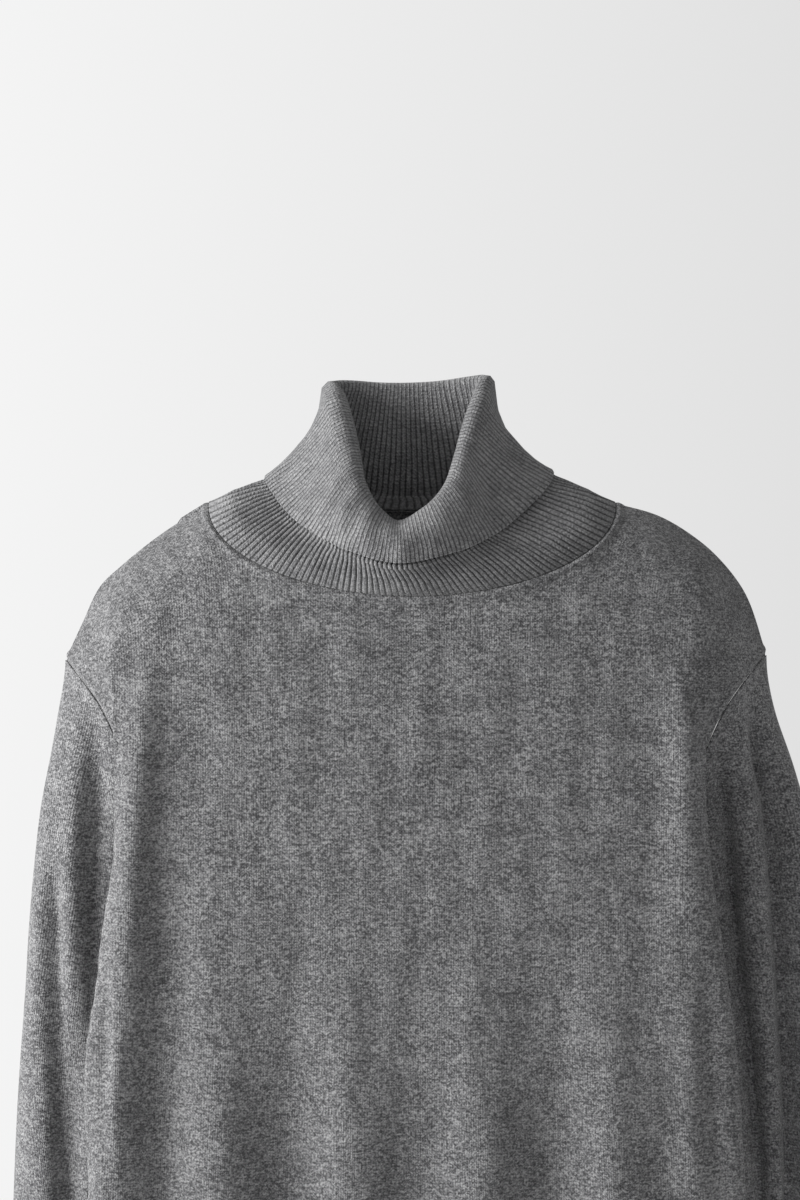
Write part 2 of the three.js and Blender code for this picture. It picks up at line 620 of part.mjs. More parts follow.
// The places of a panel's columns, mirrored about its centre line
function panelPlaces(face) {
  const half = [0];
  let from = 0;
  for (const [name, stop] of Object.entries(columns)) {
    const steps = columnSteps[face][name];
    for (let k = 1; k <= steps; k++) half.push(mix(from, stop, k / steps));
    from = stop;
  }
  return [...half.slice(1).reverse().map((place) => -place), ...half];
}

function panelRows() {
  const rows = [];
  for (let k = 0; k <= rowSteps.yoke; k++) rows.push(k / rowSteps.yoke);
  for (let k = 1; k <= rowSteps.skirt; k++) rows.push(1 + k / rowSteps.skirt);
  return rows;
}

// Places across a surface that are the same distance apart, along one of its rows
function spreadPlaces(surface, v, count) {
  const samples = 600;
  const lengths = [0];
  let before = surface(-1, v);
  for (let k = 1; k <= samples; k++) {
    const point = surface(mix(-1, 1, k / samples), v);
    lengths.push(lengths.at(-1) + point.distanceTo(before));
    before = point;
  }
  const places = [];
  let k = 1;
  for (let i = 0; i <= count; i++) {
    const wanted = (lengths.at(-1) * i) / count;
    while (k < samples && lengths[k] < wanted) k++;
    const share = (wanted - lengths[k - 1]) / (lengths[k] - lengths[k - 1]);
    places.push(mix(-1, 1, (k - 1 + share) / samples));
  }
  return places;
}

function bodyPanel(face) {
  const surface = (u, v) => bodyPoint(face, u, v);
  const flip = face === "front";
  const places = panelPlaces(face);
  const inside = (_, atSide) => -knitWall * (atSide ? seamThinning : 1);
  const outer = panelRowsOf(surface, places, panelRows(), flip, () => 0);
  return slabMesh(face, outer, panelRowsOf(surface, places, panelRows(), flip, inside), flip);
}

// A welt is ribbed outside and plain inside
function weltPanel(face) {
  const surface = (u, v) => weltPoint(face, u, v);
  const flip = face === "front";
  const ribbed = spreadPlaces(surface, 0.5, 2 * ribs[face]);
  const raised = (i) => (i % 2 ? ribs.height : 0);
  const inside = (_, atSide) => -ribWall * (atSide ? seamThinning : 1);
  const outer = panelRowsOf(surface, ribbed, [0, 1], flip, raised);
  const inner = panelRowsOf(surface, panelPlaces(face), [0, 0.5, 1], flip, inside);
  return slabMesh(`welt_${face}`, outer, inner, flip);
}

// Rings of one face of a tube, from a surface round (u) and along (v), with a gap left at each end
function tubeRings(surface, turns, lengths, depthAt) {
  const last = lengths.length - 1;
  return lengths.map((v, k) => ringOf(turns, (u) => {
    const i = turns.indexOf(u);
    const point = surface(u, v);
    if (k === 0) point.add(stepIn(surface, u, v, 0, 1, seamGap / 2));
    if (k === last) point.add(stepIn(surface, u, v, 0, -1, seamGap / 2));
    const within = Math.min(1 - probe, Math.max(probe, v));
    return point.addScaledVector(normalOf(surface, u, within), depthAt(i, k));
  }));
}

// A tube of cloth. The surface's normal points inwards on the right side of the sweater.
function tubeMesh(name, outerRings, innerRings, sign) {
  const rings = [...outerRings, ...innerRings.reverse()];
  return ringMesh(name, sign > 0 ? rings.reverse() : rings);
}

function sleeveMeshes(side, sign) {
  const steps = rowSteps.sleeve;
  const lengths = Array.from({ length: steps + 1 }, (_, k) => (k / steps) ** 1.25);
  const sleeve = (u, v) => sleevePoint(sign, u, v);
  const turns = sleeveTurns();
  const inside = (_, k) => sign * knitWall * (k === 0 ? seamThinning : 1);
  const outerSleeve = tubeRings(sleeve, turns, lengths, () => 0);
  const innerSleeve = tubeRings(sleeve, turns, lengths, inside);
  const cuffSurface = (u, v) => cuffPoint(sign, u, v);
  const raised = (i) => -sign * (i % 2 ? ribs.height : 0);
  const outerCuff = tubeRings(cuffSurface, evenTurns(2 * ribs.cuff), [0, 1], raised);
  const innerCuff = tubeRings(cuffSurface, evenTurns(plainRing.cuff), [0, 1], () => sign * ribWall);
  return [
    tubeMesh(`sleeve_${side}`, outerSleeve, innerSleeve, sign),
    tubeMesh(`cuff_${side}`, outerCuff, innerCuff, sign),
  ];
}

// The collar's cloth shows its outside up to the fold's underside, and its inside from there on
function collarMesh() {
  const facing = (turn, stretch, offset) => {
    const normal = normalOf(collarMiddle, turn, Math.min(3 - probe, Math.max(probe, stretch)));
    const point = collarMiddle(turn, stretch).addScaledVector(normal, offset);
    if (stretch > 0) return point;
    return point.add(stepIn(collarMiddle, turn, 0, 0, 1, neckGap));
  };
  const half = ribWall / 2;
  const ribbed = (side) => (stretch) => ringOf(evenTurns(2 * ribs.collar), (turn) => {
    const raised = Math.round(turn * 2 * ribs.collar) % 2 ? ribs.height : 0;
    return facing(turn, stretch, side * (half + raised));
  });
  const plain = (side) => (stretch) => ringOf(evenTurns(plainRing.collar), (turn) => {
    return facing(turn, stretch, side * half);
  });
  const rings = [
    ...collarRings.bandOutside.map(ribbed(1)),
    ...collarRings.hidden.map(plain(1)),
    ...collarRings.shownFromFold.toReversed().map(ribbed(-1)),
    ...collarRings.bandInside.toReversed().map(plain(-1)),
  ];
  return ringMesh("collar", rings);
}

const sweater = new THREE.Group();
sweater.add(bodyPanel("front"), bodyPanel("back"), weltPanel("front"), weltPanel("back"));
sweater.add(...sleeveMeshes("left", -1), ...sleeveMeshes("right", 1), collarMesh());

export default sweater;
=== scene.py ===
import math
import bpy
import numpy as np
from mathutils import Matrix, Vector


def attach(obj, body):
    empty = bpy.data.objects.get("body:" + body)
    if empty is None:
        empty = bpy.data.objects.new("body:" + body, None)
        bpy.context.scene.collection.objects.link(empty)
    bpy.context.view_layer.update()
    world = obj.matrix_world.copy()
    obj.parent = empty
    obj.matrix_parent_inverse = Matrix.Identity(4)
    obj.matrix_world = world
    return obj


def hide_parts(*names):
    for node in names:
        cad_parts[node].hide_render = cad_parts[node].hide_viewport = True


# A fine-gauge turtleneck sweater hanging from its shoulders. The tables are in millimetres,
# as in the CAD part, and become metres where a mesh is made.
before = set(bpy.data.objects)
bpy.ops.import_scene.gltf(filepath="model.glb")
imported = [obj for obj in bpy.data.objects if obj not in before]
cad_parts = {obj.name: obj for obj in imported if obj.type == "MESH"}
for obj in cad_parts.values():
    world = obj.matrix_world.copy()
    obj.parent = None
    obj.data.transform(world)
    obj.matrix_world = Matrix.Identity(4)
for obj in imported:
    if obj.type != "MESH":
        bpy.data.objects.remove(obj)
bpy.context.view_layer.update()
print("frame loaded:", sorted(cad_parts))

underarmZ = -290
weltTop, weltBottom = -585, -640
cuffTop, cuffBottom = -612, -676
knitWall, ribWall = 1.6, 2.0
# how far the shoulder ridge stands back, and how round the cloth breaks over it
ridgeY = 3
hangerRound = 22
# columns of a half panel, from its centre line at 0 to its side seam at 1
neckStop, nearStop, lipStop, tuckStop = 0.46, 0.6, 0.72, 0.84
waleWidth, courseHeight = 2.1, 1.7
seamHalfGap = 0.2
seamThinning = 0.6


# smooth curves through tables
def smooth(value):
    s = np.clip(value, 0, 1)
    return s * s * (3 - 2 * s)


def mix(a, b, share):
    return a + (b - a) * share


def hermite(a, slopeA, b, slopeB, s):
    s2, s3 = s * s, s * s * s
    ends = (2 * s3 - 3 * s2 + 1) * a + (3 * s2 - 2 * s3) * b
    return ends + (s3 - 2 * s2 + s) * slopeA + (s3 - s2) * slopeB


# All the columns of a table at a place along it
def follow(rows, at, by=0):
    rows = np.asarray(rows, float)
    if rows[-1, by] < rows[0, by]:
        rows = rows[::-1]
    stops = rows[:, by]
    slopes = np.empty_like(rows)
    slopes[1:-1] = (rows[2:] - rows[:-2]) / (stops[2:] - stops[:-2])[:, None]
    slopes[0] = (rows[1] - rows[0]) / (stops[1] - stops[0])
    slopes[-1] = (rows[-1] - rows[-2]) / (stops[-1] - stops[-2])
    at = np.asarray(at, float)
    i = np.clip(np.searchsorted(stops, at, side="right") - 1, 0, len(stops) - 2)
    span = (stops[i + 1] - stops[i])[..., None]
    s = np.clip((at - stops[i])[..., None] / span, 0, 1)
    return hermite(rows[i], slopes[i] * span, rows[i + 1], slopes[i + 1] * span, s)


# A ring-shaped table, closed on itself after a whole turn
def followRound(rows, turn):
    rows = np.asarray(rows, float)
    before, after = rows[-2:].copy(), rows[:2].copy()
    before[:, 0] -= 1
    after[:, 0] += 1
    wrapped = np.vstack([before, rows, after])
    return follow(wrapped, np.asarray(turn) % 1)[..., 1:]


# A smooth curve through four points a row, from a given slope
def throughStops(points, stops, startSlope, at):
    slopes = [startSlope]
    for k in range(1, len(points)):
        after = min(k + 1, len(points) - 1)
        slopes.append((points[after] - points[k - 1]) / (stops[after] - stops[k - 1]))
    at = np.asarray(at, float)
    i = np.clip(np.searchsorted(stops, at, side="right") - 1, 0, len(stops) - 2)
    stopArray = np.asarray(stops)
    span = (stopArray[i + 1] - stopArray[i])[None, :, None]
    s = np.clip((at - stopArray[i])[None, :, None] / span, 0, 1)
    stack = np.stack(np.broadcast_arrays(*points), axis=1)
    slopeStack = np.stack(np.broadcast_arrays(*slopes), axis=1)
    start, end = stack[:, i], stack[:, i + 1]
    return hermite(start, slopeStack[:, i] * span, end, slopeStack[:, i + 1] * span, s)


# Soft unevenness: a few crossing waves of about one size
def ripple(seed, size, *places):
    draw = np.random.default_rng(seed)
    total = 0
    for _ in range(7):
        direction = draw.normal(size=len(places))
        direction /= np.linalg.norm(direction)
        wave = draw.uniform(0.65, 1.5) / size
        phase = draw.uniform(0, 2 * math.pi)
        path = sum(d * p for d, p in zip(direction, places))
        total = total + np.sin(2 * math.pi * wave * path + phase)
    return total / 2.6


def unit(vectors):
    return vectors / np.maximum(np.linalg.norm(vectors, axis=-1, keepdims=True), 1e-9)


# the body
body = {
    # shoulder line: column, out, z
    "left": [(.46, 127, -10), (.6, 158, -30), (.72, 183, -50), (.8, 196, -63), (.88, 206, -84),
             (1, 217, -108)],
    "right": [(.46, 127, -10), (.6, 156, -18.5), (.72, 182, -35), (.8, 199, -52), (.88, 211, -71),
              (1, 222, -105)],
    "neckHalfWidth": 127,
    "neckSideZ": -10,
    "neckDrop": {"front": 58, "back": 4},
    "crownRise": 16,
    # share of the way down, out, y, z
    "armholeFront": [(0, 217, 4, -108), (.2, 213, -4, -112), (.4, 202, -18, -124), (.55, 190, -27, -141),
                     (.7, 177, -24, -172), (.85, 166, -12, -222), (1, 160, 8, -290)],
    "armholeBack": [(0, 217, 4, -108), (.2, 214, 12, -113), (.4, 205, 23, -127), (.55, 194, 30, -146),
                    (.7, 182, 33, -178), (.85, 169, 27, -228), (1, 160, 8, -290)],
    # z, left lip, right lip, side seam, front, depth at the lip, back
    "sections": [(-60, 180, 176, 160, 45, 38, 36), (-170, 181, 178, 160, 46, 38, 37),
                 (-230, 184, 183, 160, 47, 38, 38), (-290, 192, 191, 160, 48, 38, 39),
                 (-358, 200, 199, 165, 49, 37, 40), (-433, 199, 204, 174, 49, 37, 41),
                 (-540, 201, 206, 184, 49, 36, 41), (-585, 200, 204, 185, 47, 35, 39),
                 (-612, 195, 198, 184, 45, 33, 36), (-640, 194, 197, 184, 44, 33, 35)],
    # x, lean, height, width, from, full
    "frontDrapes": [(-172, -3, 6, 13, -70, -200), (-150, 0, -4, 16, -110, -300),
                    (-116, -1, 5, 24, -225, -440), (-76, -2, -7, 24, -225, -440),
                    (-37, -1, 5, 24, -240, -460), (2, 0, -4, 22, -260, -460),
                    (42, 1, 5, 24, -240, -460), (81, 2, -7, 24, -225, -440),
                    (121, 1, 5, 24, -225, -440), (168, 3, 4, 15, -70, -200)],
    "backDrapes": [(-110, -2, 6, 24, -150, -420), (-62, -1, -6, 24, -200, -440),
                   (-14, 0, 5, 26, -230, -460), (36, 0, -5, 24, -220, -440), (86, 1, 6, 26, -170, -420)],
    # small folds of the front only: x, lean, height, width, from, full
    "frontCreases": [(-176, -8, 3.2, 7, -300, -380), (-189, 3, -2.6, 5, -270, -340),
                     (-160, 4, -4, 11, -300, -440), (-129, 0, 2, 9, -380, -470),
                     (178, 7, -2.4, 7, -260, -330), (150, 6, -1.5, 8, -300, -400)],
    "deeperLow": 0.55,
    "unevenness": 0.5,
    "neckRidge": 1.5,
    "seamDip": 1.1,
}


def crownZ(x):
    out = np.abs(x)
    left = follow(body["left"], out, by=1)[..., 2]
    right = follow(body["right"], out, by=1)[..., 2]
    width = body["neckHalfWidth"]
    arch = body["neckSideZ"] + body["crownRise"] * np.cos(math.pi / 2 * np.minimum(out, width) / width)
    return np.where(out >= width, np.where(x < 0, left, right), arch)


def drapeLift(face, x, z):
    lift = 0
    for centre, lean, height, width, start, full in body[face + "Drapes"]:
        middle = centre + lean * (underarmZ - z) / 100
        grown = smooth((start - z) / (start - full))
        lift = lift + height * grown * np.exp(-((x - middle) / width) ** 2)
    return lift * np.where(z < weltTop, mix(1, 0.45, smooth((weltTop - z) / 30)), 1)


def faceY(face, x, z):
    section = follow(body["sections"], z)
    fallen = 1 - np.exp(-np.maximum(0, crownZ(x) - z) / hangerRound)
    outline = section[..., 2] - (24 if face == "front" else 40)
    rounding = np.minimum(1, np.abs(x) / outline) ** 3
    depth = section[..., 4] - 5 * rounding if face == "front" else section[..., 6] - 4 * rounding
    towards = -1 if face == "front" else 1
    return ridgeY + (towards * depth - ridgeY) * fallen + towards * drapeLift(face, x, z)


def topEdge(face, sign, column):
    column = np.asarray(column, float)
    angle = math.pi / 2 * np.minimum(column, neckStop) / neckStop
    drop = body["neckDrop"][face]
    seam = follow(body["left" if sign < 0 else "right"], column)
    onNeck = column < neckStop
    out = np.where(onNeck, body["neckHalfWidth"] * np.sin(angle), seam[..., 1])
    z = np.where(onNeck, body["neckSideZ"] - drop * np.cos(angle), seam[..., 2])
    return out, z


def armholePoint(face, sign, share):
    rows = body["armholeFront" if face == "front" else "armholeBack"]
    point = follow(rows, share)
    tipOut, tipZ = topEdge(face, sign, 1)
    nearTip = 1 - np.asarray(share, float)
    out = point[..., 1] + (tipOut - rows[0][1]) * nearTip
    y = point[..., 2] + (ridgeY - rows[0][2]) * nearTip
    z = point[..., 3] + (tipZ - rows[0][3]) * nearTip
    return np.stack([sign * out, y, z], axis=-1)


# Guide points of a panel's side at level sections: lip or corner, tuck and seam
def sideGuides(face, sign, z):
    section = follow(body["sections"], z)
    lipOut = section[..., 1 if sign < 0 else 2]
    seamOut, lipDepth, back = section[..., 3], section[..., 5], section[..., 6]
    seam = np.stack([sign * seamOut, 0 * z + 8, z], axis=-1)
    if face == "front":
        lip = np.stack([sign * lipOut, -lipDepth, z], axis=-1)
        tuck = np.stack([sign * (seamOut + 3), 0 * z - 24, z], axis=-1)
        return lipOut - 24, lip, tuck, seam
    corner = np.stack([sign * (seamOut - 13), back - 6, z], axis=-1)
    tuck = mix(corner, seam, 0.45) + np.array([sign * 1, 1.5, 0])
    return seamOut - 38, corner, tuck, seam


# The half panel on one side, as rows of points from its centre line to its side
def halfPanel(face, sign, columnPlaces, rowPlaces):
    row = rowPlaces[:, None]
    inYoke = row < 1
    fall = np.where(inYoke, row ** 1.6, 1)
    level = np.where(inYoke, underarmZ, mix(underarmZ, weltTop, row - 1))
    nearOut, lipGuide, tuckGuide, seamGuide = sideGuides(face, sign, level[:, 0])

    def inner(c):
        topOut, topZ = topEdge(face, sign, c)
        baseOut = nearOut[:, None] * (c / nearStop)
        fan = 85 * row * (1 - row) ** 3 * np.exp(-((c - neckStop) / 0.08) ** 2)
        out = np.where(inYoke, mix(topOut, baseOut, fall) + fan, baseOut)
        z = np.where(inYoke, mix(topZ, level, fall), level + 0 * out)
        return np.stack([sign * out, faceY(face, sign * out, z), z], axis=-1)

    near = inner(np.array([nearStop]))[:, 0]
    slope = (near - inner(np.array([nearStop - 0.02]))[:, 0]) / 0.02
    side = columnPlaces[columnPlaces > nearStop]
    stops = [nearStop, lipStop, tuckStop, 1]
    skirtSide = throughStops([near, lipGuide, tuckGuide, seamGuide], stops, slope, side)

    def strip(rowFall, rowShare, nearPoint):
        lipTopOut, lipTopZ = topEdge(face, sign, lipStop)
        z = mix(lipTopZ, underarmZ, rowFall)
        rolled = sideGuides(face, sign, z)[1]
        lipX = mix(sign * lipTopOut, rolled[:, 0], smooth(rowFall * 1.15))
        lipY = mix(ridgeY, lipGuide[:, 1], 1 - np.exp(-(lipTopZ - z) / hangerRound))
        lip = np.stack([lipX, lipY, z], axis=-1)
        seam = armholePoint(face, sign, rowShare)
        lowBulge = tuckGuide - (lipGuide + seamGuide) / 2
        tuck = (lip + seam) / 2 + lowBulge * (rowShare ** 2)[:, None]
        return throughStops([nearPoint, lip, tuck, seam], stops, slope, side)

    share = np.clip(rowPlaces, 0, 1)
    nearTopOut, nearTopZ = topEdge(face, sign, nearStop)
    nearTop = np.array([sign * nearTopOut, ridgeY, nearTopZ]) + 0 * near
    crest = strip(0 * share, 0 * share, nearTop)
    topOut, topZ = topEdge(face, sign, side)
    topLine = np.stack([sign * topOut, ridgeY + 0 * topOut, topZ], axis=-1)
    yokeSide = strip(fall[:, 0], share, near) + (topLine - crest) * ((1 - share) ** 4)[:, None, None]
    sidePoints = np.where(inYoke[:, :, None], yokeSide, skirtSide)
    return np.concatenate([inner(columnPlaces[columnPlaces <= nearStop]), sidePoints], axis=1)


def wholePanel(face, half, rowPlaces):
    left = halfPanel(face, -1, half, rowPlaces)[:, ::-1]
    right = halfPanel(face, 1, half, rowPlaces)
    return np.concatenate([left[:, :-1], right], axis=1)


# meshes
def normalsOf(points, closed=False):
    down = np.gradient(points, axis=0)
    if closed:
        across = np.roll(points, -1, axis=1) - np.roll(points, 1, axis=1)
    else:
        across = np.gradient(points, axis=1)
    return unit(np.cross(across, down))


def quadsOf(index, closed=False):
    nextIndex = np.roll(index, -1, axis=1) if closed else index[:, 1:]
    here = index if closed else index[:, :-1]
    return np.stack([here[:-1], nextIndex[:-1], nextIndex[1:], here[1:]], axis=-1).reshape(-1, 4)


# Triangles that join a fine chain of points to one with a point for every few of its steps
def joinChains(fine, coarse, step, turned):
    faces = []
    for k in range(len(coarse) - 1):
        for j in range(step):
            corner = coarse[k] if 2 * j < step else coarse[k + 1]
            faces.append((fine[k * step + j], fine[k * step + j + 1], corner))
        faces.append((coarse[k + 1], coarse[k], fine[k * step + (step + 1) // 2]))
    faces = np.array(faces)
    return faces[:, ::-1] if turned else faces


# A closed wall of cloth from its outer and inner faces. The inner one keeps every few points.
def wallOf(outer, inner, step, closed=False):
    outerIndex = np.arange(outer.shape[0] * outer.shape[1]).reshape(outer.shape[:2])
    kept = inner[::step, ::step]
    innerIndex = outerIndex.size + np.arange(kept.shape[0] * kept.shape[1]).reshape(kept.shape[:2])
    points = np.concatenate([outer.reshape(-1, 3), kept.reshape(-1, 3)])
    faces = quadsOf(outerIndex, closed).tolist() + quadsOf(innerIndex, closed)[:, ::-1].tolist()

    def chain(line):
        return np.append(line, line[0]) if closed else line

    faces += joinChains(chain(outerIndex[0]), chain(innerIndex[0]), step, True).tolist()
    faces += joinChains(chain(outerIndex[-1]), chain(innerIndex[-1]), step, False).tolist()
    if not closed:
        faces += joinChains(outerIndex[:, 0], innerIndex[:, 0], step, False).tolist()
        faces += joinChains(outerIndex[:, -1], innerIndex[:, -1], step, True).tolist()
    return points, faces


# Six times the volume inside the faces, below zero where they are turned inwards
def signedVolume(points, faces):
    total = 0
    for size in (3, 4):
        group = np.array([face for face in faces if len(face) == size])
        for k in range(1, size - 1):
            if len(group):
                a, b, c = points[group[:, 0]], points[group[:, k]], points[group[:, k + 1]]
                total += np.einsum("ij,ij->", a, np.cross(b, c))
    return total


def makePiece(name, points, faces, stitches, material, wrap=0):
    if signedVolume(points, faces) < 0:
        faces = [face[::-1] for face in faces]
    mesh = bpy.data.meshes.new(name)
    mesh.from_pydata((points * 0.001).tolist(), [], faces)
    corners = np.empty(len(mesh.loops), dtype=np.int64)
    mesh.loops.foreach_get("vertex_index", corners)
    uv = stitches[corners]
    if wrap:
        starts = np.empty(len(mesh.polygons), dtype=np.int64)
        mesh.polygons.foreach_get("loop_start", starts)
        most = np.maximum.reduceat(uv[:, 0], starts)
        lengths = np.diff(np.append(starts, len(uv)))
        uv[:, 0] += wrap * (np.repeat(most, lengths) - uv[:, 0] > wrap / 2)
    layer = mesh.uv_layers.new(name="stitches")
    layer.data.foreach_set("uv", uv.ravel())
    mesh.polygons.foreach_set("use_smooth", np.ones(len(mesh.polygons), dtype=bool))
    mesh.materials.append(material)
    mesh.update()
    piece = bpy.data.objects.new(name, mesh)
    bpy.context.scene.collection.objects.link(piece)
    print(name, len(points), "points", len(faces), "faces")
    return piece


# materials
class Wire:
    def __init__(self, tree, socket):
        self.tree = tree
        self.socket = socket

    def into(self, socket):
        self.tree.links.new(self.socket, socket)

    def math(self, operation, *others):
        return makeNode(self.tree, "ShaderNodeMath", {"operation": operation}, (self, *others))

    def __add__(self, other):
        return self.math("ADD", other)

    def __sub__(self, other):
        return self.math("SUBTRACT", other)

    def __rsub__(self, other):
        return makeNode(self.tree, "ShaderNodeMath", {"operation": "SUBTRACT"}, (other, self))

    def __mul__(self, other):
        return self.math("MULTIPLY", other)

    def __pow__(self, other):
        return self.math("POWER", other)

    def __abs__(self):
        return self.math("ABSOLUTE")

    __radd__ = __add__
    __rmul__ = __mul__


# Any node: its type, its settings, then values or links for its sockets by place or name
def makeNode(tree, kind, settings=None, inputs=(), output=0):
    node = tree.nodes.new(kind)
    for key, value in (settings or {}).items():
        if key == "stops":
            setStops(node.color_ramp, value)
        else:
            setattr(node, key, value)
    pairs = inputs.items() if isinstance(inputs, dict) else enumerate(inputs)
    for key, value in pairs:
        if isinstance(value, Wire):
            value.into(node.inputs[key])
        else:
            node.inputs[key].default_value = value
    return Wire(tree, node.outputs[output]) if len(node.outputs) else None


def setStops(ramp, stops):
    while len(ramp.elements) < len(stops):
        ramp.elements.new(0.5)
    for element, (place, colour) in zip(ramp.elements, stops):
        element.position = place
        element.color = (*colour, 1)


yarn = {
    "dark": (0.07, 0.07, 0.073),
    "middle": (0.185, 0.185, 0.19),
    "light": (0.37, 0.37, 0.373),
    "sheen": 0.3,
    "stitchDepth": 0.0009,
    "valleyShade": 0.95,
}


def knit(name, ribbed):
    material = bpy.data.materials.new(name)
    material.use_nodes = True
    tree = material.node_tree
    tree.nodes.clear()
    place = makeNode(tree, "ShaderNodeTexCoord", output="Object")
    stitches = makeNode(tree, "ShaderNodeUVMap", {"uv_map": "stitches"})

    def noise(scale, sizes, detail=2.0, roughness=0.5):
        stretched = makeNode(tree, "ShaderNodeVectorMath", {"operation": "MULTIPLY"}, (place, sizes))
        sockets = {"Vector": stretched, "Scale": scale, "Detail": detail, "Roughness": roughness}
        return makeNode(tree, "ShaderNodeTexNoise", {}, sockets, output="Fac")

    # melange: short level flecks of lighter and darker fibre over a fine grain
    flecks = noise(230, (1, 1, 2.6), detail=2.0, roughness=0.6)
    grain = noise(720, (1, 1, 1.15), detail=1.5, roughness=0.6)
    patches = noise(40, (1, 1, 1.8), detail=1.0)
    calm = 0.45 if ribbed else 1.0
    blend = flecks * (0.62 * calm) + grain * (1.15 * calm) + patches * 0.2 + (0.49 - 0.985 * calm)
    stops = [(0.3, yarn["dark"]), (0.5, yarn["middle"]), (0.72, yarn["light"])]
    colour = makeNode(tree, "ShaderNodeValToRGB", {"stops": stops}, {"Fac": blend})

    # stitches: each wale is a row of small V shapes
    across = makeNode(tree, "ShaderNodeSeparateXYZ", {}, (stitches,), output="X")
    along = makeNode(tree, "ShaderNodeSeparateXYZ", {}, (stitches,), output="Y")
    wale = abs(across.math("FRACT") - 0.5) * 2
    leg = (wale * math.pi).math("SINE")
    rows = ((along - wale * 0.45) * (2 * math.pi)).math("COSINE") * 0.5 + 0.5
    loops = leg ** 0.6 * (rows * 0.6 + 0.4)
    height = loops * (0.45 if ribbed else 0.55) + grain * 1.5 + flecks * 0.25
    bump = {"Strength": 0.9, "Distance": yarn["stitchDepth"], "Height": height}
    normal = makeNode(tree, "ShaderNodeBump", {}, bump, output="Normal")
    # painted shade: the base colour is darker in the hollows between the stitch loops
    depth = loops * 0.4 + 0.72
    if ribbed:
        # painted shade in the valleys between the ribs, which fades out where the rib is linked on
        crest = abs((across * math.pi).math("SINE")) ** 0.9
        linked = along.math("MULTIPLY_ADD", 0.42, -0.15).math("MINIMUM", 1.0).math("MAXIMUM", 0.0)
        depth = depth * (1 - linked * yarn["valleyShade"] * (0.8 - crest))
    # the yarn colour times its painted shade
    shade = makeNode(tree, "ShaderNodeMix", {"data_type": "RGBA", "blend_type": "MULTIPLY"},
                     {"Factor": 1.0, 6: colour, 7: depth}, output=2)
    sockets = {
        "Base Color": shade,
        "Roughness": grain * 0.12 + 0.82,
        "Normal": normal,
        "Sheen Weight": yarn["sheen"],
        "Sheen Roughness": 0.45,
        "Specular IOR Level": 0.18,
    }
    shader = makeNode(tree, "ShaderNodeBsdfPrincipled", {}, sockets)
    makeNode(tree, "ShaderNodeOutputMaterial", {}, {"Surface": shader})
    return material


jersey = knit("jersey_knit", ribbed=False)
rib = knit("rib_knit", ribbed=True)
print("materials made")


def finishPiece(piece, node):
    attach(piece, "root")
    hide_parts(node)


# Stitch counts across and down a panel, so its wales stay upright
def panelStitches(points):
    middle = points.shape[1] // 2
    steps = np.hypot(*np.moveaxis(np.diff(points[..., :2], axis=1), -1, 0))
    across = np.concatenate([np.zeros((len(points), 1)), np.cumsum(steps, axis=1)], axis=1)
    across = across - across[:, middle:middle + 1]
    depth = np.maximum(0, crownZ(points[..., 0]) - points[..., 2])
    roll = 18 * (1 - np.exp(-depth / 14))
    return np.stack([across / waleWidth, (roll - points[..., 2]) / courseHeight], axis=-1)


def panelNormals(face, points):
    normals = normalsOf(points)
    outwards = -1 if face == "front" else 1
    middle = points.shape[1] // 2
    if np.sign(normals[len(points) // 2, middle, 1]) != outwards:
        normals = -normals
    return normals


half = np.concatenate([
    np.linspace(0, neckStop, 71)[:-1],
    np.linspace(neckStop, nearStop, 20)[:-1],
    np.linspace(nearStop, 1, 72),
])
half = np.unique(half)
rowPlaces = np.concatenate([np.linspace(0, 1, 145)[:-1], np.linspace(1, 2, 117)])
print("panel grid", len(half) * 2 - 1, len(rowPlaces))
panels = {face: wholePanel(face, half, rowPlaces) for face in ("front", "back")}
panelsNormals = {face: panelNormals(face, points) for face, points in panels.items()}

# The two panels share their direction along the shoulder and side seams
outerColumns = np.abs(np.concatenate([-half[::-1][:-1], half])) >= neckStop
shared = unit(panelsNormals["front"][0] + panelsNormals["back"][0])
for normals in panelsNormals.values():
    normals[0, outerColumns] = shared[outerColumns]
skirtRows = rowPlaces >= 1
for edge in (0, -1):
    joined = unit(panelsNormals["front"][:, edge] + panelsNormals["back"][:, edge])
    for normals in panelsNormals.values():
        normals[skirtRows, edge] = joined[skirtRows]


def fadeAt(place, width):
    return smooth(place / width)


# The inner face keeps a point for every few of the outer one
innerStep = 4


